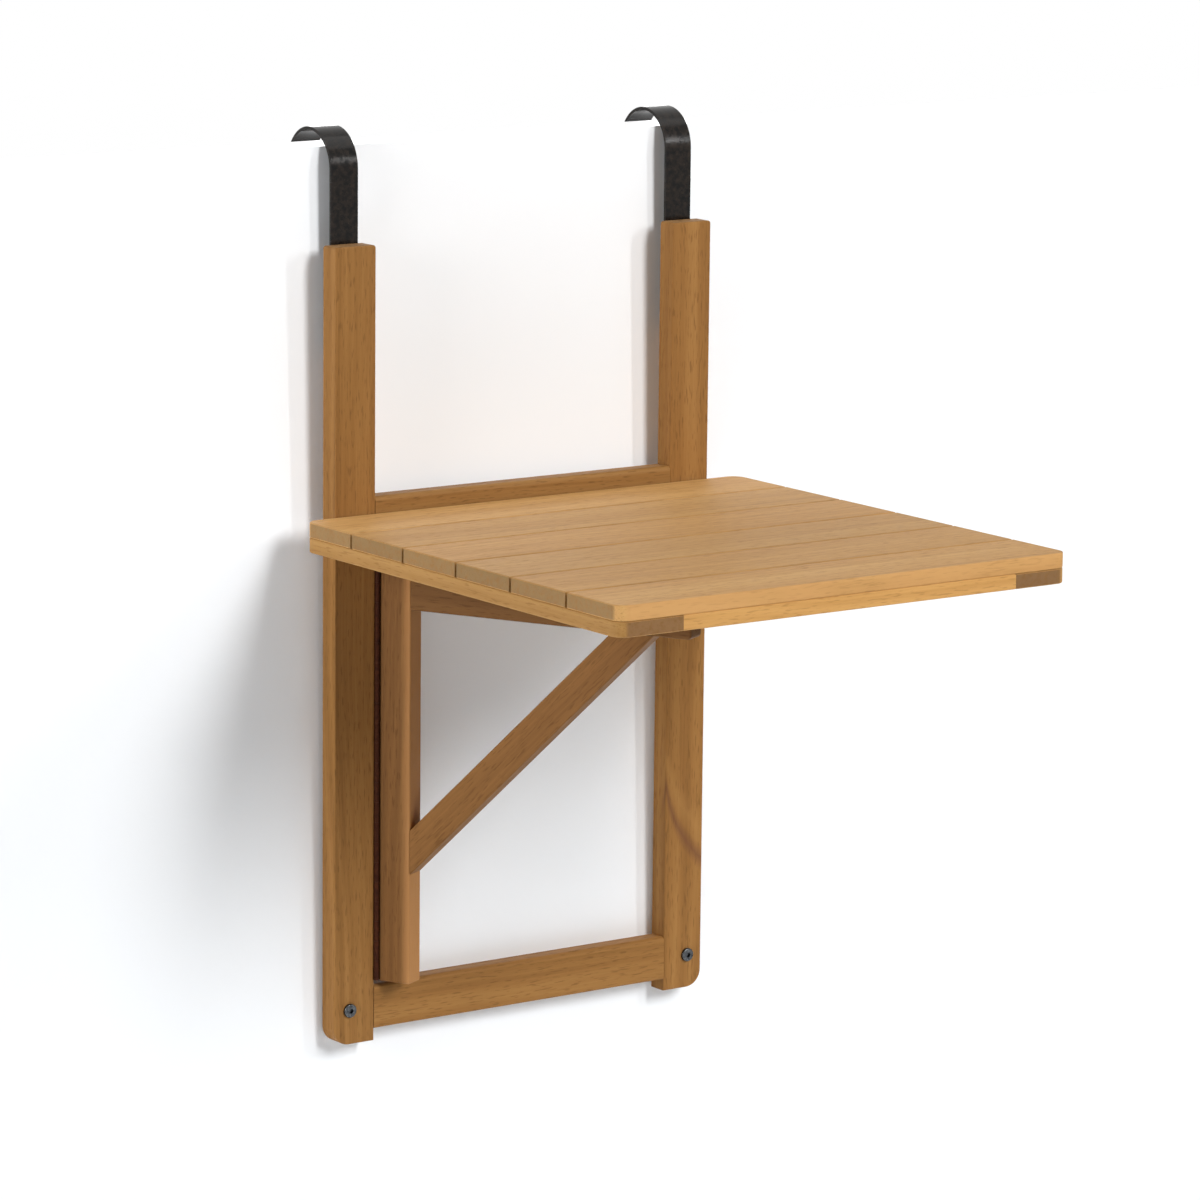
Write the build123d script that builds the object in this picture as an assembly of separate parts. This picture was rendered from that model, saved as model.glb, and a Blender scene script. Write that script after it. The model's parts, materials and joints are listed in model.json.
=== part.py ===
from build123d import *
import os
from math import cos, radians, sin, tan

os.makedirs("parts", exist_ok=True)

# Folding balcony table that hangs on a rail by two hooks. Millimetres.
# X runs along the rail, Y goes from the user to the wall, Z is up.
# The origin is the axis of the rail in the hooks, halfway between them.

# Back frame
frame_width = 452.0
stile_width = 47.0
stile_thickness = 23.0
stile_length = 800.0
stile_foot_radius = 17.5
stile_head_radius = 3.0
frame_arris = 1.5
rail_height = 45.0
rail_round = 5.0  # upper edges of both rails
upper_rail_rise = 16.5  # top edge of the upper rail above the table surface
lower_rail_rise = 12.5  # bottom edge of the lower rail above the stile feet

# Rail tenons, drawn up by bolts
tenon_thickness = 8.0
tenon_length = 36.0
tenon_shoulder = 6.0
front_cheek = 10.0  # stile wood in front of the mortise
joint_clearance = 0.2
bolt_inset = 18.0  # bolt axis from the outer side of the stile
bolt_radius = 3.0
bolt_head_radius = 7.0
bolt_head_height = 3.0
bolt_head_round = 1.3
bolt_socket_width = 5.0
bolt_socket_depth = 2.2
upper_bolt_rise = 16.0  # axis of an upper bolt above the bottom edge of its rail
counterbore_depth = 3.6  # upper bolt heads lie below the stile's face, clear of the top
counterbore_clearance = 0.6
insert_radius = 4.5
bore_clearance = 0.15

# Hooks
hook_inner_radius = 37.0
strap_thickness = 3.0
strap_width = 31.0
hook_spacing = 402.0
strap_rise = 72.0  # stile head to the centre of the bend
strap_overlap = 110.0  # strap behind the stile
strap_corner = 6.0
hook_tail = 25.0
hook_screw_pitch = 38.0
hook_screws_each = 3

# Table top
surface_drop = 265.0  # table surface below the stile heads
top_width = 525.0
top_depth = 528.0
top_gap = 2.0  # rear edge of the top to the frame
top_corner = 13.0
slat_thickness = 15.0
slat_gap = 3.0
slat_count = 6
end_slat_width = 82.0
slat_arris = 1.2
batten_thickness = 15.0
left_batten_width = 72.0
right_batten_width = 64.0
middle_batten_width = 68.0
cross_batten_width = 45.0
cross_screw_spacing = 145.0
rear_screw_inset = 30.0  # in front of the tips of the hinge screws
batten_arris = 1.5

# Swing bracket under the top
gate_angle = 62.5  # from the frame's plane, at rest
gate_end_gap = 16.0  # the bracket is shorter than the opening between the stiles by this much
gate_thickness = 23.0
gate_floor = 4.0  # post foot above the lower rail
gate_arris = 2.0
post_width = 34.8
arm_height = 46.5
arm_tip_radius = 4.0
arm_tenon_length = 22.0
brace_width = 32.0
brace_angle = 45.0
brace_setback = 40.1  # tip of the arm to the lower end of the brace's joint with it
dowel_radius = 4.0
dowel_length = 36.0
dowel_seat = 15.0  # depth of a dowel in the post or the arm
dowel_chamfer = 0.8

# Stop block that the arm carries, and the cleat on it that ends the arm's swing
stop_thickness = 17.0
stop_length = 80.0
stop_reach = 12.0  # block beyond the tip of the arm
stop_corner = 3.0
stop_screw_inset = 20.0
cleat_height = 8.0
cleat_screw_inset = 9.0
cleat_arris = 1.0
bearing_clearance = 0.4

# Hinges: one long hinge for the bracket, two short ones for the top
barrel_radius = 2.6
pin_radius = 1.5
pin_clearance = 0.05
knuckle_gap = 0.4
leaf_corner = 2.0
gate_leaf_thickness = 1.2
gate_leaf_gap = 0.6  # between the two leaves when the gate is home
gate_leaf_width = 20.0
gate_knuckles = 21
gate_hinge_inset = 1.0  # bare ends of the post
gate_barrel_setback = 1.8  # hinge axis in front of the frame
gate_leaf_screws = 5
gate_screw_inset = 25.0
top_leaf_thickness = 1.2
top_knuckles = 3
top_leaf_width = 30.0
top_hinge_length = 40.0
top_hinge_spacing = 220.0
top_barrel_drop = 3.5  # hinge axis below the underside of the top
top_leaf_screw_pitch = 26.0

# Wood screws: head radius, shank radius, length
hook_screw = (4.5, 2.2, 20.0)
slat_screw = (3.8, 1.9, 25.0)
stop_screw = (3.8, 1.9, 28.0)
leaf_screw = (3.0, 1.6, 16.0)
screw_slot_width = 0.9
screw_slot_depth = 1.0

# Smallest difference between two places that are not the same
tolerance = 0.01

# Levels and planes that follow from the sizes
hook_outer_radius = hook_inner_radius + strap_thickness
frame_back_y = -hook_outer_radius
frame_front_y = frame_back_y - stile_thickness
frame_half = frame_width / 2
opening_half = frame_half - stile_width
stile_centre_x = frame_half - stile_width / 2
stile_head_z = -strap_rise
stile_foot_z = stile_head_z - stile_length
surface_z = stile_head_z - surface_drop
slat_under_z = surface_z - slat_thickness
batten_under_z = slat_under_z - batten_thickness
upper_rail_z = surface_z + upper_rail_rise - rail_height
lower_rail_z = stile_foot_z + lower_rail_rise
tenon_y = frame_front_y + front_cheek
bolt_x = frame_half - bolt_inset
top_rear_y = frame_front_y - top_gap
top_front_y = top_rear_y - top_depth
top_half = top_width / 2
inner_slat_width = (top_depth - 2 * end_slat_width - (slat_count - 1) * slat_gap) / (slat_count - 2)

# Gate plane: its X runs along the arm, its Y goes through the gate's thickness
gate_leaf_offset = gate_leaf_gap / 2
gate_half_gap = gate_leaf_offset + gate_leaf_thickness
gate_axis_x = -opening_half + gate_half_gap
gate_axis_y = frame_front_y - gate_barrel_setback
gate_turn = radians(gate_angle)
gate_plane = Plane(
    origin=(gate_axis_x, gate_axis_y, 0),
    x_dir=(cos(gate_turn), -sin(gate_turn), 0),
    z_dir=(0, 0, 1),
)
gate_front = gate_barrel_setback
gate_back = gate_front + gate_thickness
gate_middle = gate_front + gate_thickness / 2
post_left = gate_half_gap
post_right = post_left + post_width
gate_length = 2 * opening_half - gate_end_gap
arm_tip = post_left + gate_length
brace_tip = arm_tip - brace_setback
arm_top_z = batten_under_z - stop_thickness - bearing_clearance
arm_under_z = arm_top_z - arm_height
post_foot_z = lower_rail_z + rail_height + gate_floor

# Hinge places
top_axis_y = frame_front_y - top_gap / 2
top_axis_z = batten_under_z - top_barrel_drop
top_leaf_top_z = top_axis_z + top_leaf_width
top_hinge_xs = (-top_hinge_spacing / 2, top_hinge_spacing / 2)
gate_hinge_length = arm_top_z - post_foot_z - 2 * gate_hinge_inset
gate_hinge_z = (arm_top_z + post_foot_z) / 2
gate_screw_low = post_foot_z + gate_screw_inset
gate_screw_pitch = (arm_under_z - gate_screw_inset - gate_screw_low) / (gate_leaf_screws - 1)
gate_screw_zs = [gate_screw_low + row * gate_screw_pitch for row in range(gate_leaf_screws)]


def block(x0, x1, y0, y1, z0, z1):
    centre = Pos((x0 + x1) / 2, (y0 + y1) / 2, (z0 + z1) / 2)
    return centre * Box(abs(x1 - x0), abs(y1 - y0), abs(z1 - z0))


def rod(radius, length):
    return Cylinder(radius, length, align=(Align.CENTER, Align.CENTER, Align.MIN))


def long_edges(part, axis):
    return part.edges().filter_by(axis).sort_by(SortBy.LENGTH)[-4:]


def save(part, node):
    export_step(part, os.path.join("parts", node + ".step"))


def group(solids):
    return Compound(children=list(solids))


# Screws point along their own -Z, with the flat of the head at Z 0
up = Rot(180, 0, 0)
to_wall = Rot(90, 0, 0)
to_user = Rot(-90, 0, 0)
to_left = Rot(0, 90, 0)
to_right = Rot(0, -90, 0)


def wood_screw(size):
    head, shank, length = size
    outline = Polyline(
        (0, 0), (head, 0), (shank, shank - head), (shank, 2 * shank - length), (0, -length), close=True
    )
    screw = revolve(Plane.XZ * make_face(outline), Axis.Z)
    slot = Box(head, screw_slot_width, 2 * screw_slot_depth)
    return screw - slot - Rot(0, 0, 90) * slot


def screw_hole(size):
    head, shank, length = size
    wide = shank + bore_clearance
    rim = head + bore_clearance
    above = bore_clearance
    deep = length + joint_clearance
    outline = Polyline(
        (0, above), (rim + above, above), (wide, wide - rim), (wide, -deep), (0, -deep), close=True
    )
    return revolve(Plane.XZ * make_face(outline), Axis.Z)


def drill(part, places, size):
    for place in places:
        part -= place * screw_hole(size)
    return part


# Places of all screws, worked out once for the pieces that they hold together
hook_screw_places = [
    Pos(side * hook_spacing / 2, frame_back_y + strap_thickness, z) * to_user
    for side in (-1, 1)
    for z in [
        stile_head_z - strap_overlap / 2 + (row - (hook_screws_each - 1) / 2) * hook_screw_pitch
        for row in range(hook_screws_each)
    ]
]
leaf_screw_row = gate_front + (gate_leaf_width - gate_front) / 2
stile_leaf_places = [
    Pos(-opening_half + gate_leaf_thickness, gate_axis_y + leaf_screw_row, z) * to_left
    for z in gate_screw_zs
]
post_leaf_places = [Pos(gate_leaf_offset, leaf_screw_row, z) * to_right for z in gate_screw_zs]
rail_leaf_places = [
    Pos(x + shift, frame_front_y, (slat_under_z + batten_under_z) / 2) * to_wall
    for x in top_hinge_xs
    for shift in (-top_leaf_screw_pitch / 2, top_leaf_screw_pitch / 2)
]
top_leaf_places = [
    Pos(x + shift, top_rear_y, (slat_under_z + batten_under_z) / 2) * to_user
    for x in top_hinge_xs
    for shift in (-top_leaf_screw_pitch / 2, top_leaf_screw_pitch / 2)
]

# Slats from the frame to the front edge, as pairs of rear and front Y
slat_spans = []
slat_rear = top_rear_y
for slat_index in range(slat_count):
    at_edge = slat_index in (0, slat_count - 1)
    slat_front = slat_rear - (end_slat_width if at_edge else inner_slat_width)
    slat_spans.append((slat_rear, slat_front))
    slat_rear = slat_front - slat_gap
slat_middles = [(rear + front) / 2 for rear, front in slat_spans]

left_batten_x = -top_half + left_batten_width
right_batten_x = top_half - right_batten_width
middle_screw_x = -middle_batten_width / 4
side_screw_places = [
    Pos(x, y, batten_under_z) * up
    for x in (-top_half + left_batten_width / 2, top_half - right_batten_width / 2)
    for y in slat_middles
]
middle_screw_places = [Pos(middle_screw_x, y, batten_under_z) * up for y in slat_middles[1:-1]]
cross_screw_xs = [-cross_screw_spacing, 0, cross_screw_spacing]
rear_screw_places = [
    Pos(x, top_rear_y - rear_screw_inset, batten_under_z) * up for x in cross_screw_xs
]
front_screw_places = [
    Pos(x, top_front_y + cross_batten_width / 2, batten_under_z) * up for x in cross_screw_xs
]
slat_screw_places = side_screw_places + middle_screw_places + rear_screw_places + front_screw_places

# Stop block under the middle batten, at the tip of the arm
arm_tip_y = gate_axis_y - arm_tip * sin(gate_turn) + gate_front * cos(gate_turn)
stop_front_y = arm_tip_y - stop_reach
stop_rear_y = stop_front_y + stop_length
stop_face_z = batten_under_z - stop_thickness
cleat_face_z = stop_face_z - cleat_height
block_screw_places = [
    Pos(middle_batten_width / 4, y, stop_face_z) * up
    for y in (stop_front_y + stop_screw_inset, stop_rear_y - stop_screw_inset)
]
cleat_screw_x = -middle_batten_width / 2 + cleat_screw_inset
cleat_screw_place = Pos(cleat_screw_x, stop_front_y + cleat_screw_inset, cleat_face_z) * up
stop_screw_places = block_screw_places + [cleat_screw_place]


# Rails and their bolts: the rail's bottom edge, the bolt's axis and the depth of the bolt's head
rail_joints = [
    (upper_rail_z, upper_rail_z + upper_bolt_rise, counterbore_depth),
    (lower_rail_z, lower_rail_z + rail_height / 2, 0),
]


# Back frame
def stile(side):
    centre = Pos(side * stile_centre_x, (stile_head_z + stile_foot_z) / 2)
    outline = Plane.XZ.offset(-frame_back_y) * (centre * Rectangle(stile_width, stile_length))
    corners = outline.vertices()
    foot = corners.sort_by(Axis.Z)[:2].sort_by(Axis.X)[-1 if side > 0 else 0]
    outline = fillet(foot, stile_foot_radius)
    outline = fillet(outline.vertices().sort_by(Axis.Z)[-2:], stile_head_radius)
    body = extrude(outline, stile_thickness)
    rims = body.faces().filter_by(Axis.Y).edges()
    body = fillet(rims, frame_arris)
    for rail_z, bolt_z, sunk in rail_joints:
        body -= mortise(side, rail_z)
        body -= bolt_bore(side, bolt_z, sunk)
    body = drill(body, hook_screw_places, hook_screw)
    if side < 0:
        body = drill(body, stile_leaf_places, leaf_screw)
    return body


def mortise(side, z):
    return block(
        side * opening_half,
        side * (opening_half + tenon_length + joint_clearance),
        tenon_y - joint_clearance,
        tenon_y + tenon_thickness + joint_clearance,
        z + tenon_shoulder - joint_clearance,
        z + rail_height - tenon_shoulder + joint_clearance,
    )


def bolt_bore(side, z, sunk):
    start = Pos(side * bolt_x, frame_front_y, z) * to_wall
    bore = start * (Pos(0, 0, -front_cheek) * rod(bolt_radius + bore_clearance, front_cheek))
    if sunk > 0:
        bore += start * (Pos(0, 0, -sunk) * rod(bolt_head_radius + counterbore_clearance, sunk))
    return bore


def rail(z, bolt_z):
    body = block(-opening_half, opening_half, frame_front_y, frame_back_y, z, z + rail_height)
    arrises = long_edges(body, Axis.X).sort_by(Axis.Z)
    body = fillet(arrises[:2], frame_arris)
    tops = body.edges().filter_by(Axis.X).sort_by(Axis.Z)[-2:]
    body = fillet(tops, rail_round)
    reach = opening_half + tenon_length
    tenon_back = tenon_y + tenon_thickness
    body += block(-reach, reach, tenon_y, tenon_back, z + tenon_shoulder, z + rail_height - tenon_shoulder)
    for side in (-1, 1):
        seat = Pos(side * bolt_x, tenon_y, bolt_z) * to_wall
        body -= seat * (Pos(0, 0, -tenon_thickness) * rod(insert_radius + bore_clearance, tenon_thickness))
    return body


def upper_rail(z, bolt_z):
    body = rail(z, bolt_z)
    for x in top_hinge_xs:
        body -= hinge_recess(x, frame_front_y, frame_front_y + top_leaf_thickness)
    return drill(body, rail_leaf_places, leaf_screw)


def hinge_recess(x, y0, y1):
    half = top_hinge_length / 2 + joint_clearance
    return block(x - half, x + half, y0, y1, top_axis_z, top_leaf_top_z + joint_clearance)


def tenon_bolt(sunk):
    head = rod(bolt_head_radius, bolt_head_height)
    head = fillet(head.edges().sort_by(Axis.Z)[-1], bolt_head_round)
    shank_length = front_cheek + tenon_thickness - sunk - joint_clearance
    bolt = head + Pos(0, 0, -shank_length) * rod(bolt_radius, shank_length)
    socket = RegularPolygon(bolt_socket_width / 2, 6, major_radius=False)
    return bolt - Pos(0, 0, bolt_head_height) * extrude(socket, -bolt_socket_depth)


def tenon_bolts():
    return group(
        Pos(side * bolt_x, frame_front_y + sunk, bolt_z) * to_wall * tenon_bolt(sunk)
        for side in (-1, 1)
        for _, bolt_z, sunk in rail_joints
    )


def tenon_inserts():
    sleeve = rod(insert_radius, tenon_thickness) - rod(bolt_radius + bore_clearance, tenon_thickness)
    return group(
        Pos(side * bolt_x, tenon_y, bolt_z) * to_user * sleeve
        for side in (-1, 1)
        for _, bolt_z, _ in rail_joints
    )


# Hooks: a flat strap up the stile's back, over the rail and down behind it
def hook(side):
    ring = Circle(hook_outer_radius) - Circle(hook_inner_radius)
    bend = ring - Pos(0, -hook_outer_radius / 2) * Rectangle(2 * hook_outer_radius, hook_outer_radius)
    middle_radius = (hook_outer_radius + hook_inner_radius) / 2
    leg_length = strap_rise + strap_overlap
    leg = Pos(-middle_radius, -leg_length / 2) * Rectangle(strap_thickness, leg_length)
    tail = Pos(middle_radius, -hook_tail / 2) * Rectangle(strap_thickness, hook_tail)
    strap = extrude(Plane.YZ * (bend + leg + tail), strap_width / 2, both=True)
    strap = fillet(strap.edges().filter_by(Axis.Y), strap_corner)
    return drill(Pos(side * hook_spacing / 2, 0, 0) * strap, hook_screw_places, hook_screw)


# Hinges about their own Z axis. The leaf on side -1 lies at X below 0, the other above 0.
def knuckle_span(index, count, length):
    pitch = length / count
    low = -length / 2 + index * pitch + (knuckle_gap / 2 if index else 0)
    high = -length / 2 + (index + 1) * pitch - (knuckle_gap / 2 if index < count - 1 else 0)
    return low, high


def hinge_leaf(side, length, width, offset, thickness, count, first_knuckle):
    near = side * offset
    far = side * (offset + thickness)
    leaf = block(near, far, 0, width, -length / 2, length / 2)
    tips = leaf.edges().filter_by(Axis.X).sort_by(Axis.Y)[-2:]
    leaf = fillet(tips, leaf_corner)
    for index in range(count):
        low, high = knuckle_span(index, count, length)
        if index % 2 == first_knuckle:
            leaf += Pos(0, 0, low) * rod(barrel_radius, high - low)
        else:
            room = barrel_radius + knuckle_gap
            leaf -= Pos(0, 0, low - knuckle_gap) * rod(room, high - low + 2 * knuckle_gap)
    return leaf - Pos(0, 0, -length / 2) * rod(pin_radius + pin_clearance, length)


def hinge_pin(length):
    return Pos(0, 0, -length / 2) * rod(pin_radius, length)


# Swing bracket, drawn in the gate plane
def gate_post():
    body = block(post_left, post_right, gate_front, gate_back, post_foot_z, arm_top_z)
    body = fillet(body.edges(), gate_arris)
    body -= arm_tenon(joint_clearance)
    body -= brace_foot_dowel(bore_clearance, joint_clearance)
    return gate_plane * drill(body, post_leaf_places, leaf_screw)


def arm_tenon(room):
    return block(
        post_right - arm_tenon_length - room,
        post_right,
        gate_middle - tenon_thickness / 2 - room,
        gate_middle + tenon_thickness / 2 + room,
        arm_under_z + tenon_shoulder - room,
        arm_top_z - tenon_shoulder + room,
    )


def gate_arm():
    body = block(post_right, arm_tip, gate_front, gate_back, arm_under_z, arm_top_z)
    tips = body.edges().filter_by(Axis.Y).sort_by(Axis.X)[-2:]
    body = fillet(tips, arm_tip_radius)
    rims = body.edges().filter_by(lambda edge: edge.center().X > post_right + gate_arris)
    rims = rims.filter_by(Axis.Y, reverse=True)
    body = fillet(rims, gate_arris)
    body += arm_tenon(0)
    return gate_plane * (body - brace_head_dowel(bore_clearance, joint_clearance))


def gate_brace():
    slope = radians(brace_angle)
    foot_low = (post_right, arm_under_z - (brace_tip - post_right) * tan(slope))
    head_low = (brace_tip, arm_under_z)
    head_high = (brace_tip - brace_width / sin(slope), arm_under_z)
    foot_high = (post_right, foot_low[1] + brace_width / cos(slope))
    side_view = make_face(Polyline(foot_low, head_low, head_high, foot_high, close=True))
    body = extrude(Plane.XZ.offset(-gate_back) * side_view, gate_thickness)
    slanted = body.edges().sort_by(SortBy.LENGTH)[-4:]
    body = fillet(slanted, gate_arris)
    body -= brace_foot_dowel(bore_clearance, joint_clearance)
    return gate_plane * (body - brace_head_dowel(bore_clearance, joint_clearance))


def brace_middle_height(x):
    slope = radians(brace_angle)
    drop = (brace_tip - x) * tan(slope)
    return arm_under_z - drop + brace_width / cos(slope) / 2


def dowel(wider, longer):
    pin = rod(dowel_radius + wider, dowel_length + 2 * longer)
    return Pos(0, 0, -dowel_seat - longer) * chamfer(pin.edges().filter_by(GeomType.CIRCLE), dowel_chamfer)


def brace_foot_dowel(wider, longer):
    height = brace_middle_height(post_right + (dowel_length - dowel_seat) / 2)
    return Pos(post_right, gate_middle, height) * Rot(0, 90, 0) * dowel(wider, longer)


def brace_head_dowel(wider, longer):
    slope = radians(brace_angle)
    reach = brace_tip - brace_width / sin(slope) / 2
    along = reach - (dowel_length - dowel_seat) / 2 / tan(slope)
    return Pos(along, gate_middle, arm_under_z) * Rot(180, 0, 0) * dowel(wider, longer)


def gate_dowels():
    return gate_plane * group([brace_foot_dowel(0, 0), brace_head_dowel(0, 0)])


# Table top
def rounded_plate(x0, x1, y0, y1, z0, z1, round_corner, arris):
    plate = Pos((x0 + x1) / 2, (y0 + y1) / 2, z0) * Rectangle(x1 - x0, y1 - y0)
    for vertex in plate.vertices():
        if round_corner(vertex):
            plate = fillet(plate.vertices().sort_by_distance(vertex)[0], top_corner)
    body = extrude(plate, z1 - z0)
    level = body.edges().filter_by(lambda edge: abs(edge.start_point().Z - edge.end_point().Z) < tolerance)
    return fillet(level, arris)


def at_top_corner(vertex):
    at_side = abs(abs(vertex.X) - top_half) < tolerance
    at_rear = abs(vertex.Y - top_rear_y) < tolerance
    at_front = abs(vertex.Y - top_front_y) < tolerance
    return at_side and (at_rear or at_front)


def slat(index):
    rear, front = slat_spans[index]
    body = rounded_plate(
        -top_half, top_half, front, rear, slat_under_z, surface_z, at_top_corner, slat_arris
    )
    if index == 0:
        for x in top_hinge_xs:
            body -= hinge_recess(x, top_rear_y - top_leaf_thickness, top_rear_y)
    return drill(body, slat_screw_places, slat_screw)


def batten(x0, x1, rear, front, places):
    body = rounded_plate(
        x0, x1, front, rear, batten_under_z, slat_under_z, at_top_corner, batten_arris
    )
    return drill(body, places, slat_screw)


def rear_batten():
    front = top_rear_y - cross_batten_width
    body = batten(left_batten_x, right_batten_x, top_rear_y, front, rear_screw_places)
    for x in top_hinge_xs:
        body -= hinge_recess(x, top_rear_y - top_leaf_thickness, top_rear_y)
    return drill(body, top_leaf_places, leaf_screw)


def front_batten():
    rear = top_front_y + cross_batten_width
    return batten(left_batten_x, right_batten_x, rear, top_front_y, front_screw_places)


def middle_batten():
    half = middle_batten_width / 2
    rear = top_rear_y - cross_batten_width
    front = top_front_y + cross_batten_width
    body = batten(-half, half, rear, front, middle_screw_places)
    return drill(body, stop_screw_places, stop_screw)


def stop_block():
    half = middle_batten_width / 2
    body = block(-half, half, stop_front_y, stop_rear_y, stop_face_z, batten_under_z)
    body = fillet(body.edges().filter_by(Axis.Z), stop_corner)
    return drill(body, stop_screw_places, stop_screw)


def stop_cleat():
    half = middle_batten_width / 2
    body = block(-half, half, stop_front_y, stop_rear_y, cleat_face_z, stop_face_z)
    side = gate_front - bearing_clearance
    body -= gate_plane * block(-top_width, top_width, side, top_depth, cleat_face_z, stop_face_z)
    body = fillet(body.edges().filter_by(Axis.Z), cleat_arris)
    return drill(body, [cleat_screw_place], stop_screw)


# Back frame
save(stile(-1), "left_stile")
save(stile(1), "right_stile")
save(upper_rail(*rail_joints[0][:2]), "upper_rail")
save(rail(*rail_joints[1][:2]), "lower_rail")
save(tenon_bolts(), "tenon_bolts")
save(tenon_inserts(), "tenon_inserts")
save(hook(-1), "left_hook")
save(hook(1), "right_hook")
save(group(place * wood_screw(hook_screw) for place in hook_screw_places), "hook_screws")

# Gate and its hinges
save(gate_post(), "gate_post")
save(gate_arm(), "gate_arm")
save(gate_brace(), "gate_brace")
save(gate_dowels(), "gate_dowels")
gate_sizes = (gate_hinge_length, gate_leaf_width, gate_leaf_offset, gate_leaf_thickness, gate_knuckles)
on_frame = Pos(gate_axis_x, gate_axis_y, gate_hinge_z)
stile_leaf = drill(on_frame * hinge_leaf(-1, *gate_sizes, 0), stile_leaf_places, leaf_screw)
post_leaf = drill(Pos(0, 0, gate_hinge_z) * hinge_leaf(1, *gate_sizes, 1), post_leaf_places, leaf_screw)
save(stile_leaf, "gate_hinge_stile_leaf")
save(gate_plane * post_leaf, "gate_hinge_post_leaf")
save(on_frame * hinge_pin(gate_hinge_length), "gate_hinge_pin")
save(group(place * wood_screw(leaf_screw) for place in stile_leaf_places), "gate_hinge_stile_screws")
post_screws = group(place * wood_screw(leaf_screw) for place in post_leaf_places)
save(gate_plane * post_screws, "gate_hinge_post_screws")

# Table top
for slat_index in range(slat_count):
    save(slat(slat_index), "slat_" + str(slat_index + 1))
left_places = side_screw_places[:slat_count]
right_places = side_screw_places[slat_count:]
save(batten(-top_half, left_batten_x, top_rear_y, top_front_y, left_places), "left_batten")
save(batten(right_batten_x, top_half, top_rear_y, top_front_y, right_places), "right_batten")
save(middle_batten(), "middle_batten")
save(rear_batten(), "rear_batten")
save(front_batten(), "front_batten")
save(group(place * wood_screw(slat_screw) for place in slat_screw_places), "slat_screws")
save(stop_block(), "stop_block")
save(stop_cleat(), "stop_cleat")
save(group(place * wood_screw(stop_screw) for place in stop_screw_places), "stop_screws")

# Top hinges: their axis lies along X, with both leaves standing up between rail and top
for end, x in zip(("left", "right"), top_hinge_xs):
    sizes = (top_hinge_length, top_leaf_width, top_gap / 2, top_leaf_thickness, top_knuckles)
    hinge_plane = Plane(origin=(x, top_axis_y, top_axis_z), x_dir=(0, 1, 0), z_dir=(1, 0, 0))
    rail_leaf = drill(hinge_plane * hinge_leaf(1, *sizes, 0), rail_leaf_places, leaf_screw)
    top_leaf = drill(hinge_plane * hinge_leaf(-1, *sizes, 1), top_leaf_places, leaf_screw)
    save(rail_leaf, end + "_top_hinge_rail_leaf")
    save(top_leaf, end + "_top_hinge_top_leaf")
    save(hinge_plane * hinge_pin(top_hinge_length), end + "_top_hinge_pin")
save(group(place * wood_screw(leaf_screw) for place in rail_leaf_places), "top_hinge_rail_screws")
save(group(place * wood_screw(leaf_screw) for place in top_leaf_places), "top_hinge_top_screws")
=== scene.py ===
import json
from math import cos, radians, sin

import bmesh
import bpy
from mathutils import Matrix, Vector


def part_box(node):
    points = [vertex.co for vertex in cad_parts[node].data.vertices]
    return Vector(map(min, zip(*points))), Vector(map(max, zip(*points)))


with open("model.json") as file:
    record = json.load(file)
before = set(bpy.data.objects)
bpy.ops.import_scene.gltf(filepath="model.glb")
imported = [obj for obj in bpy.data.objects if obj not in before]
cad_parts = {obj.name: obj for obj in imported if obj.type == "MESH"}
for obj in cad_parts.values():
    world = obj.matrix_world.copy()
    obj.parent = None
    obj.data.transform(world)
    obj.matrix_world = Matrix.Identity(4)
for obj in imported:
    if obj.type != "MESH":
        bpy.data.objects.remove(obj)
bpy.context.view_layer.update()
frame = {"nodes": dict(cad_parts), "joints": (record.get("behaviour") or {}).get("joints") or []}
cad = frame["nodes"]
print("frame loaded with", len(cad), "nodes")


# A socket that takes part in plain Python maths
class Value:
    def __init__(self, look, socket):
        self.look = look
        self.socket = socket

    def out(self, name):
        return Value(self.look, self.socket.node.outputs[name])

    def maths(self, operation, first, second):
        return self.look.add("ShaderNodeMath", {"operation": operation}, {0: first, 1: second})

    def __add__(self, other):
        return self.maths("ADD", self, other)

    def __radd__(self, other):
        return self.maths("ADD", other, self)

    def __sub__(self, other):
        return self.maths("SUBTRACT", self, other)

    def __rsub__(self, other):
        return self.maths("SUBTRACT", other, self)

    def __mul__(self, other):
        return self.maths("MULTIPLY", self, other)

    def __rmul__(self, other):
        return self.maths("MULTIPLY", other, self)

    def __truediv__(self, other):
        return self.maths("DIVIDE", self, other)

    def __pow__(self, other):
        return self.maths("POWER", self, other)

    def __abs__(self):
        return self.maths("ABSOLUTE", self, 0.0)

    def clamped(self):
        return self.look.add("ShaderNodeClamp", {}, {"Value": self})


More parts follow.
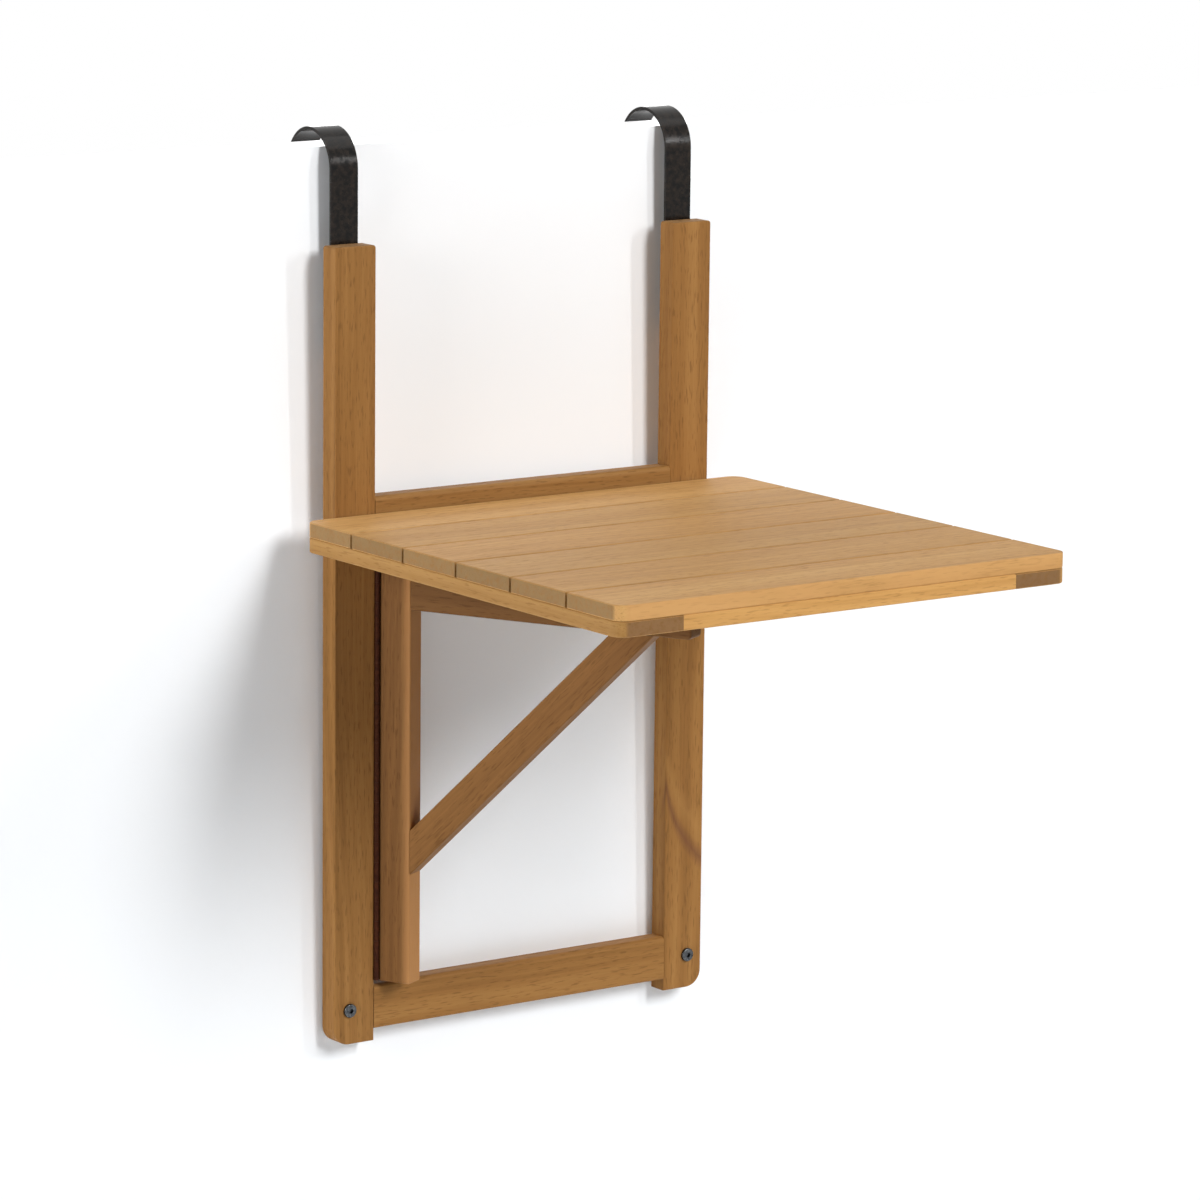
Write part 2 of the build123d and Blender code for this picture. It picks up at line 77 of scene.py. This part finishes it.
# The nodes of one material, or of the world
class Look:
    def __init__(self, owner):
        owner.use_nodes = True
        self.owner = owner
        self.tree = owner.node_tree
        self.tree.nodes.clear()

    def add(self, kind, settings=None, sockets=None, output=0):
        node = self.tree.nodes.new(kind)
        for name, setting in (settings or {}).items():
            if name == "stops":
                self.setStops(node.color_ramp, setting)
            else:
                setattr(node, name, setting)
        for name, given in (sockets or {}).items():
            if isinstance(given, Value):
                self.tree.links.new(given.socket, node.inputs[name])
            else:
                node.inputs[name].default_value = given
        return Value(self, node.outputs[output]) if node.outputs else None

    def setStops(self, ramp, stops):
        while len(ramp.elements) < len(stops):
            ramp.elements.new(0.5)
        for element, (place, color) in zip(ramp.elements, stops):
            element.position = place
            element.color = (*color, 1.0)

    # A Mix node's sockets share names, so its factor, colours and result go by number
    def mix(self, share, first, second):
        inks = [ink if isinstance(ink, Value) else (*ink, 1.0) for ink in (first, second)]
        sockets = {0: share, 6: inks[0], 7: inks[1]}
        return self.add("ShaderNodeMix", {"data_type": "RGBA"}, sockets, output=2)

    def scaled(self, vector, scale):
        return self.add("ShaderNodeVectorMath", {"operation": "MULTIPLY"}, {0: vector, 1: scale})

    def dot(self, first, second):
        settings = {"operation": "DOT_PRODUCT"}
        return self.add("ShaderNodeVectorMath", settings, {0: first, 1: second}, "Value")

    def noise(self, vector, scale, detail=2.0, roughness=0.5):
        sockets = {
            "Vector": self.scaled(vector, scale),
            "Scale": 1.0,
            "Detail": detail,
            "Roughness": roughness,
        }
        return self.add("ShaderNodeTexNoise", {}, sockets)

    def surface(self, **sockets):
        named = {name.replace("_", " "): given for name, given in sockets.items()}
        shader = self.add("ShaderNodeBsdfPrincipled", {}, named)
        self.add("ShaderNodeOutputMaterial", {}, {"Surface": shader})
        return self.owner

    # 1 for rays that show a surface to the camera, straight or by gloss or glass
    def seen(self):
        ray = self.add("ShaderNodeLightPath", {}, {}, "Is Camera Ray")
        return (ray + ray.out("Is Glossy Ray") + ray.out("Is Transmission Ray")).clamped()


def newLook(name):
    return Look(bpy.data.materials.new(name))


def paint(node, material):
    piece = cad[node]
    piece.data.materials.clear()
    piece.data.materials.append(material)


# Oiled hardwood: rings round a pith beside the board, streaks, fibres and pores along the grain
wood = {
    "ringsPerMetre": 170.0,
    "pithSide": 0.055,
    "pithDepth": 0.035,
    "seedShift": 1.37,  # along the grain from one seed's figure to the next
    "seedTurn": 0.618,  # from one seed's place in the range of boards to the next
    "wander": 0.030,
    # How fine each figure is, the first number along the grain
    "wanderScale": (1.6, 3.0, 3.0),
    "bandScale": (0.8, 13.0, 13.0),
    "streakScale": (2.0, 48.0, 48.0),
    "fibreScale": (9.0, 420.0, 420.0),
    "poreScale": (70.0, 620.0, 620.0),
    "speckScale": (30.0, 190.0, 190.0),  # open vessels on the ends
    # Where a noise turns into a mark, and how sharply
    "poreLevel": 0.42,
    "poreSharpness": 9.0,
    "speckLevel": 0.22,
    "speckSharpness": 3.2,
    "endLevel": 0.92,  # how squarely a face cuts the grain to count as an end
    "endSharpness": 14.0,
    # The next two shape a painted shade line along the upper edges of the ends
    "edgeShadeLevel": 0.15,
    "edgeShadeSharpness": 2.0,
    # Shares of each mark in the colour
    "toneStops": (0.18, 0.50, 0.82),
    "bandShare": 0.52,
    "streakShare": 0.50,
    "ringShare": 0.37,
    "fibreShare": 0.36,
    "poreShare": 0.40,
    "boardShare": 0.10,  # one board against the next
    "endShare": 0.85,
    "edgeShadeShare": 0.50,
    # Sheen and relief
    "roughness": 0.58,
    "fibreRoughness": 0.16,
    "poreRoughness": 0.10,
    "endRoughness": 0.15,
    "gloss": 0.13,
    "fibreHeight": 0.6,
    "poreHeight": 0.5,
    "bumpHeight": 0.00025,
    "bumpStrength": 0.35,
}


def woodLook(node, grain, tones, seed):
    look = newLook("wood_" + node)
    low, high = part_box(node)
    turn = Vector(grain).rotation_difference(Vector((1, 0, 0)))
    pith = Vector((seed * wood["seedShift"], wood["pithSide"] * (1 if seed % 2 else -1), wood["pithDepth"]))
    shift = pith - turn @ ((low + high) / 2)
    coords = look.add("ShaderNodeTexCoord", {}, {}, "Object")
    sockets = {"Vector": coords, "Location": shift, "Rotation": turn.to_euler()}
    board = look.add("ShaderNodeMapping", {}, sockets)

    wander = look.noise(board, wood["wanderScale"], detail=1.0)
    parts = look.add("ShaderNodeSeparateXYZ", {}, {"Vector": board})
    side = parts.out("Y") + (wander - 0.5) * (2 * wood["wander"])
    depth = parts.out("Z") + (wander - 0.5) * wood["wander"]
    radius = (side * side + depth * depth) ** 0.5
    rings = look.add(
        "ShaderNodeTexNoise",
        {"noise_dimensions": "1D"},
        {"W": radius * wood["ringsPerMetre"] + seed, "Scale": 1.0, "Detail": 2.5, "Roughness": 0.55},
    )
    bands = look.noise(board, wood["bandScale"])
    streaks = look.noise(board, wood["streakScale"], detail=3.0, roughness=0.55)
    fibres = look.noise(board, wood["fibreScale"], detail=3.0, roughness=0.6)
    pores = look.noise(board, wood["poreScale"], detail=1.0)
    pores = ((wood["poreLevel"] - pores) * wood["poreSharpness"]).clamped()

    middle = 0.5 + (seed * wood["seedTurn"] % 1 - 0.5) * wood["boardShare"]
    tone = middle + (bands - 0.5) * wood["bandShare"] + (streaks - 0.5) * wood["streakShare"]
    tone = (tone + (rings - 0.5) * wood["ringShare"] + (fibres - 0.5) * wood["fibreShare"]).clamped()
    stops = list(zip(wood["toneStops"], (tones["dark"], tones["middle"], tones["light"])))
    color = look.add("ShaderNodeValToRGB", {"stops": stops}, {"Fac": tone})
    color = look.mix(pores * wood["poreShare"], color, tones["pore"])
    for figure, ink in tones.get("figures", []):
        color = look.mix(figure(look, coords), color, ink)

    # Ends of the grain are dull and speckled, and their upper edges get a painted shade line in the pore
    # colour
    facing = look.add("ShaderNodeTexCoord", {}, {}, "Normal")
    across = abs(look.dot(facing, grain))
    endGrain = ((across - wood["endLevel"]) * wood["endSharpness"]).clamped()
    specks = look.noise(board, wood["speckScale"], detail=3.0, roughness=0.6)
    specks = ((specks - wood["speckLevel"]) * wood["speckSharpness"]).clamped()
    endColor = look.mix(specks, tones["pore"], tones["end"])
    color = look.mix(endGrain * wood["endShare"], color, endColor)
    if not grain[2]:
        up = look.add("ShaderNodeSeparateXYZ", {}, {"Vector": facing}).out("Z")
        endEdgeShade = ((across * up - wood["edgeShadeLevel"]) * wood["edgeShadeSharpness"]).clamped()
        color = look.mix(endEdgeShade * wood["edgeShadeShare"], color, tones["pore"])

    bump = look.add("ShaderNodeBump", {}, {
        "Strength": wood["bumpStrength"],
        "Distance": wood["bumpHeight"],
        "Height": fibres * wood["fibreHeight"] - pores * wood["poreHeight"],
    })
    roughness = wood["roughness"] + (fibres - 0.5) * wood["fibreRoughness"]
    roughness = roughness + pores * wood["poreRoughness"] + endGrain * wood["endRoughness"]
    return look.surface(Base_Color=color, Roughness=roughness, Normal=bump, Specular_IOR_Level=wood["gloss"])


# The same wood made darker or paler, as another board, or on the arm as painted shade
def toned(tones, level):
    return {name: tuple(level * part for part in ink) for name, ink in tones.items()}


# Back frame
frameWood = {
    "dark": (0.195, 0.085, 0.021),
    "middle": (0.300, 0.141, 0.038),
    "light": (0.400, 0.203, 0.061),
    "pore": (0.115, 0.048, 0.014),
    "end": (0.340, 0.190, 0.080),
}
frameLevels = {"left_stile": 0.93, "upper_rail": 0.82, "lower_rail": 0.95}
heartStreak = {
    "ink": (0.150, 0.058, 0.028),
    "paleInk": (0.430, 0.220, 0.066),
    "top": -0.640,
    "drop": 0.098,
    "bend": 0.45,  # under 1 is steep at the inner side and level at the outer side
    "slant": 0.050,  # depth over which the streak would run down the inner side
    "fade": 0.010,  # depth at which it has gone
    "width": 0.014,
    "paleRise": 0.030,
    "paleWidth": 0.024,
    "strength": 0.70,
    "paleStrength": 0.35,
}


# A band that follows the streak down across the right stile, at a height above its middle
def streakBand(look, coords, rise, width):
    low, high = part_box("right_stile")
    parts = look.add("ShaderNodeSeparateXYZ", {}, {"Vector": coords})
    depth = parts.out("Y") - low.y
    share = ((parts.out("X") - low.x) / (high.x - low.x) + depth / heartStreak["slant"]).clamped()
    middle = heartStreak["top"] + rise - share ** heartStreak["bend"] * heartStreak["drop"]
    band = (1.0 - abs(parts.out("Z") - middle) / width).clamped()
    return band * (1.0 - depth / heartStreak["fade"]).clamped()


def heartFigure(look, coords):
    return streakBand(look, coords, 0.0, heartStreak["width"]) * heartStreak["strength"]


def paleFigure(look, coords):
    band = streakBand(look, coords, heartStreak["paleRise"], heartStreak["paleWidth"])
    return band * heartStreak["paleStrength"]


upright = (0, 0, 1)
alongRail = (1, 0, 0)
leftStileWood = toned(frameWood, frameLevels["left_stile"])
paint("left_stile", woodLook("left_stile", upright, leftStileWood, seed=1))
rightStileFigures = [(paleFigure, heartStreak["paleInk"]), (heartFigure, heartStreak["ink"])]
rightStileWood = {**frameWood, "figures": rightStileFigures}
paint("right_stile", woodLook("right_stile", upright, rightStileWood, seed=2))
for seed, node in enumerate(("upper_rail", "lower_rail"), start=3):
    paint(node, woodLook(node, alongRail, toned(frameWood, frameLevels[node]), seed))
print("back frame finished")

# Swing bracket
gateWood = {
    "dark": (0.130, 0.055, 0.014),
    "middle": (0.190, 0.084, 0.023),
    "light": (0.255, 0.119, 0.036),
    "pore": (0.075, 0.031, 0.009),
    "end": (0.205, 0.110, 0.046),
}
braceWood = {
    "dark": (0.155, 0.067, 0.017),
    "middle": (0.225, 0.101, 0.028),
    "light": (0.295, 0.141, 0.043),
    "pore": (0.085, 0.036, 0.011),
    "end": (0.225, 0.122, 0.051),
}
# The arm is painted darker as the shade under the table top
armShadeLevel = 0.75
# Painted light: the post is paler on its side towards the arm, the side that faces the key lamp
postLitSide = {
    "ink": (0.420, 0.203, 0.070),
    "start": 0.006,  # from the middle of the post towards the arm
    "end": 0.017,
    "strength": 0.85,
}
gateJoint = next(joint for joint in frame["joints"] if joint["name"] == "gate_swing")
armDirection = Matrix.Rotation(-radians(gateJoint["range_deg"][1]), 3, "Z") @ Vector((1, 0, 0))
braceDirection = (armDirection + Vector((0, 0, 1))).normalized()


def postLitSideFigure(look, coords):
    low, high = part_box("gate_post")
    out = look.dot(coords, armDirection) - armDirection.dot((low + high) / 2)
    share = (out - postLitSide["start"]) / (postLitSide["end"] - postLitSide["start"])
    return share.clamped() * postLitSide["strength"]


postWood = {**gateWood, "figures": [(postLitSideFigure, postLitSide["ink"])]}
paint("gate_post", woodLook("gate_post", upright, postWood, seed=5))
paint("gate_arm", woodLook("gate_arm", armDirection, toned(gateWood, armShadeLevel), seed=6))
paint("gate_brace", woodLook("gate_brace", braceDirection, braceWood, seed=7))
paint("gate_dowels", woodLook("gate_dowels", alongRail, gateWood, seed=8))
print("swing bracket finished")

# Table top
slatWood = {
    "dark": (0.405, 0.205, 0.061),
    "middle": (0.530, 0.290, 0.099),
    "light": (0.630, 0.370, 0.141),
    "pore": (0.250, 0.119, 0.038),
    "end": (0.230, 0.143, 0.063),
}
battenWood = {
    "dark": (0.280, 0.139, 0.039),
    "middle": (0.368, 0.196, 0.060),
    "light": (0.450, 0.254, 0.085),
    "pore": (0.180, 0.082, 0.025),
    "end": (0.220, 0.116, 0.050),
}
crossWood = {
    "dark": (0.455, 0.223, 0.063),
    "middle": (0.590, 0.314, 0.098),
    "light": (0.690, 0.393, 0.140),
    "pore": (0.280, 0.129, 0.040),
    "end": (0.245, 0.133, 0.062),
}
slatLightShade = {
    "jointShadeInk": (0.130, 0.062, 0.022),
    "jointShadeStrength": 0.25,  # painted shade where the next slat lies beside it
    "paleInk": (0.620, 0.330, 0.122),
    "paleStrength": 0.45,  # painted light on the free front edge
    "width": 0.0018,
    "patchScale": (14.0, 30.0, 1.0),
    "patchDepth": 3.0,
}


# Painted shade beside a joint, and painted light at the free front edge, in patches along one side of a slat
def sideLightShadeFigure(node, side, strength):
    low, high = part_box(node)

    def figure(look, coords):
        depth = look.add("ShaderNodeSeparateXYZ", {}, {"Vector": coords}).out("Y")
        inside = depth - low.y if side == "front" else high.y - depth
        near = (1.0 - inside / slatLightShade["width"]).clamped()
        patches = 1.0 + (look.noise(coords, slatLightShade["patchScale"]) - 0.5) * slatLightShade["patchDepth"]
        return (near * patches * strength).clamped()

    return figure


alongSide = (0, 1, 0)
slatNodes = sorted(node for node in cad if node.startswith("slat_") and node[-1].isdigit())
slatLevels = (1.0, 0.91, 1.0, 0.88, 0.96, 1.0)  # from the rear to the front
stopLevel = 0.75
topSeeds = {"slats": 11, "battens": 20, "crossBattens": 30}  # first seed of each kind of board
for seed, (node, level) in enumerate(zip(slatNodes, slatLevels), start=topSeeds["slats"]):
    figures = [(sideLightShadeFigure(node, "rear", slatLightShade["jointShadeStrength"]), slatLightShade["jointShadeInk"])]
    # The front slat gets painted light on its free front edge
    if node == slatNodes[-1]:
        figures.append((sideLightShadeFigure(node, "front", slatLightShade["paleStrength"]), slatLightShade["paleInk"]))
    else:
        figures.append((sideLightShadeFigure(node, "front", slatLightShade["jointShadeStrength"]), slatLightShade["jointShadeInk"]))
    paint(node, woodLook(node, alongRail, {**toned(slatWood, level), "figures": figures}, seed))
battenTones = {
    "left_batten": battenWood,
    "right_batten": {**battenWood, "end": (0.188, 0.101, 0.046)},
    "middle_batten": battenWood,
    "stop_block": toned(battenWood, stopLevel),
    "stop_cleat": toned(battenWood, stopLevel),
}
for seed, (node, tones) in enumerate(battenTones.items(), start=topSeeds["battens"]):
    paint(node, woodLook(node, alongSide, tones, seed))
for seed, node in enumerate(("rear_batten", "front_batten"), start=topSeeds["crossBattens"]):
    paint(node, woodLook(node, alongRail, crossWood, seed))
print("table top finished")

# Metals
hookSteel = {  # brown-black finish, as from the forge
    "dark": (0.0005, 0.0003, 0.0002),
    "light": (0.018, 0.012, 0.008),
    "patches": 170.0,  # per metre
    "roughness": 0.17,
    "metallic": 0.0,
    "gloss": 0.20,
}
hingeShadeSteel = {  # dark finish, painted reddish brown as the shaded gap beside the post, lit by light bounced off the wood
    "dark": (0.026, 0.006, 0.002),
    "light": (0.060, 0.017, 0.006),
    "patches": 200.0,
    "roughness": 0.55,
    "metallic": 0.0,
    "gloss": 0.08,
}
boltSteel = {
    "dark": (0.030, 0.032, 0.035),
    "light": (0.100, 0.105, 0.110),
    "patches": 300.0,
    "roughness": 0.28,
    "metallic": 1.0,
    "gloss": 0.50,
}
screwSteel = {
    "dark": (0.40, 0.40, 0.41),
    "light": (0.60, 0.60, 0.61),
    "patches": 400.0,
    "roughness": 0.32,
    "metallic": 1.0,
    "gloss": 0.50,
}
insertBrass = {
    "dark": (0.45, 0.31, 0.11),
    "light": (0.66, 0.47, 0.19),
    "patches": 400.0,
    "roughness": 0.32,
    "metallic": 1.0,
    "gloss": 0.50,
}
# Shared by all the metals
metalPatch = {
    "level": 0.36,
    "sharpness": 3.2,
    "roughness": 0.30,
    "bumpHeight": 0.0002,
    "bumpStrength": 0.20,
}


def metalLook(name, finish):
    look = newLook(name)
    coords = look.add("ShaderNodeTexCoord", {}, {}, "Object")
    patches = look.noise(coords, (finish["patches"],) * 3, detail=5.0, roughness=0.62)
    share = ((patches - metalPatch["level"]) * metalPatch["sharpness"]).clamped()
    relief = {
        "Strength": metalPatch["bumpStrength"],
        "Distance": metalPatch["bumpHeight"],
        "Height": patches,
    }
    return look.surface(
        Base_Color=look.mix(share, finish["dark"], finish["light"]),
        Roughness=finish["roughness"] + (patches - 0.5) * metalPatch["roughness"],
        Metallic=finish["metallic"],
        Specular_IOR_Level=finish["gloss"],
        Normal=look.add("ShaderNodeBump", {}, relief),
    )


hookMetal = metalLook("hook_metal", hookSteel)
hingeShadeMetal = metalLook("hinge_shade_metal", hingeShadeSteel)
boltMetal = metalLook("bolt_metal", boltSteel)
screwMetal = metalLook("screw_metal", screwSteel)
brassMetal = metalLook("brass_metal", insertBrass)
for node in cad:
    if node.endswith("_hook"):
        paint(node, hookMetal)
    elif "screws" in node:
        paint(node, screwMetal)
    elif "hinge" in node:
        paint(node, hingeShadeMetal)
paint("tenon_bolts", boltMetal)
paint("tenon_inserts", brassMetal)
print("metals finished")

# Stage: a pale wall that the hooks go over, and a pale floor
stage = {
    "wallFront": -0.022,
    "wallRear": 0.028,
    "wallTop": 0.0225,
    "lean": radians(1.05),  # the wall comes nearer to the feet
    "stripHeight": 0.10,
    "floor": -1.80,
    "reach": 6.0,
    "ink": (0.910, 0.930, 0.950),
    "glow": 0.04,  # of the wall, as the camera sees it
    "paleGlow": 0.75,  # of the strip and the floor
    "ambient": 0.055,
}


def stageLook(name, strength):
    look = newLook(name)
    matt = look.add("ShaderNodeBsdfDiffuse", {}, {"Color": (*stage["ink"], 1.0)})
    glow = look.add("ShaderNodeEmission", {}, {"Color": (1, 1, 1, 1), "Strength": look.seen() * strength})
    lit = look.add("ShaderNodeAddShader", {}, {0: matt, 1: glow})
    # Clear from behind and to the lamp there, so that the table's back is lit and seen
    clear = look.add("ShaderNodeBsdfTransparent")
    behind = look.add("ShaderNodeNewGeometry", {}, {}, "Backfacing")
    shadow = look.add("ShaderNodeLightPath", {}, {}, "Is Shadow Ray")
    front = look.add("ShaderNodeMixShader", {}, {0: (behind + shadow).clamped(), 1: lit, 2: clear})
    look.add("ShaderNodeOutputMaterial", {}, {"Surface": front})
    return look.owner


def stagePlane(name, centre, normal, sizeX, sizeY, material):
    shape = bmesh.new()
    bmesh.ops.create_grid(shape, x_segments=1, y_segments=1, size=0.5)
    bmesh.ops.scale(shape, verts=shape.verts, vec=(sizeX, sizeY, 1))
    turn = Vector((0, 0, 1)).rotation_difference(Vector(normal))
    bmesh.ops.rotate(shape, verts=shape.verts, cent=(0, 0, 0), matrix=turn.to_matrix())
    bmesh.ops.translate(shape, verts=shape.verts, vec=centre)
    mesh = bpy.data.meshes.new(name)
    shape.to_mesh(mesh)
    shape.free()
    plane = bpy.data.objects.new(name, mesh)
    bpy.context.scene.collection.objects.link(plane)
    mesh.materials.append(material)


wallMaterial = stageLook("stage_wall", stage["glow"])
paleMaterial = stageLook("stage_pale", stage["paleGlow"])
reach = stage["reach"]
wallLength = (stage["wallTop"] - stage["floor"]) / cos(stage["lean"])
wallNormal = Vector((0, -cos(stage["lean"]), sin(stage["lean"])))
wallDown = Vector((0, -sin(stage["lean"]), -cos(stage["lean"])))
wallMiddle = Vector((0, stage["wallFront"], stage["wallTop"])) + wallDown * wallLength / 2
stagePlane("wall_face", wallMiddle, wallNormal, 2 * reach, wallLength, wallMaterial)
# A strip at the wall's far side hides the hooks' ends from the front, and is clear from behind
stripMiddle = (0, stage["wallRear"], stage["wallTop"] - stage["stripHeight"] / 2)
stagePlane("wall_strip", stripMiddle, (0, -1, 0), 2 * reach, stage["stripHeight"], paleMaterial)
stagePlane("floor", (0, 0, stage["floor"]), (0, 0, 1), 2 * reach, 2 * reach, paleMaterial)

world = bpy.data.worlds.new("studio")
bpy.context.scene.world = world
studio = Look(world)
skyLevel = stage["ambient"] + studio.seen() * (1.0 - stage["ambient"])
sky = studio.add("ShaderNodeBackground", {}, {"Color": (1, 1, 1, 1), "Strength": skyLevel})
studio.add("ShaderNodeOutputWorld", {}, {"Surface": sky})

# Lamps: a tall key in front, an accent on its right, a broad one overhead, a fill on the left, and one behind
lamps = {
    "key": {"from": (1.45, -6.34, 3.15), "width": 1.6, "height": 3.4, "power": 352.0},
    "accent": {"from": (1.70, -2.32, 0.88), "width": 0.14, "height": 0.8, "power": 17.0},
    "overhead": {"from": (1.0, -0.7, 2.6), "width": 2.2, "height": 2.2, "power": 13.0},
    "fill": {"from": (-3.0, -0.35, 0.3), "width": 1.6, "height": 1.6, "power": 61.0},
    "rear": {"from": (1.5, 3.4, 0.2), "width": 2.0, "height": 2.0, "power": 30.0},
}
aim = Vector((0, -0.25, -0.4))
for name, lamp in lamps.items():
    light = bpy.data.lights.new(name, "AREA")
    light.shape = "ELLIPSE"
    light.size = lamp["width"]
    light.size_y = lamp["height"]
    light.energy = lamp["power"]
    holder = bpy.data.objects.new(name, light)
    holder.location = lamp["from"]
    holder.rotation_euler = (aim - Vector(lamp["from"])).to_track_quat("-Z", "Y").to_euler()
    bpy.context.scene.collection.objects.link(holder)
print("stage and lamps set")

# Camera at the photograph's viewing angle
shot = {
    "place": (-3.1087, -4.5673, 0.5858),
    "azimuth": 35.404,
    "elevation": 10.625,
    "roll": 0.61,
    "lens": 166.285,
    "sensor": 36.0,
}
cameraData = bpy.data.cameras.new("shot")
cameraData.lens = shot["lens"]
cameraData.sensor_width = shot["sensor"]
camera = bpy.data.objects.new("shot", cameraData)
heading = Matrix.Rotation(-radians(shot["azimuth"]), 4, "Z")
tilt = Matrix.Rotation(radians(90 - shot["elevation"]), 4, "X")
roll = Matrix.Rotation(radians(shot["roll"]), 4, "Z")
camera.matrix_world = Matrix.Translation(shot["place"]) @ heading @ tilt @ roll
bpy.context.scene.collection.objects.link(camera)
bpy.context.scene.camera = camera
bpy.context.scene.view_settings.view_transform = "Standard"
print("camera set")
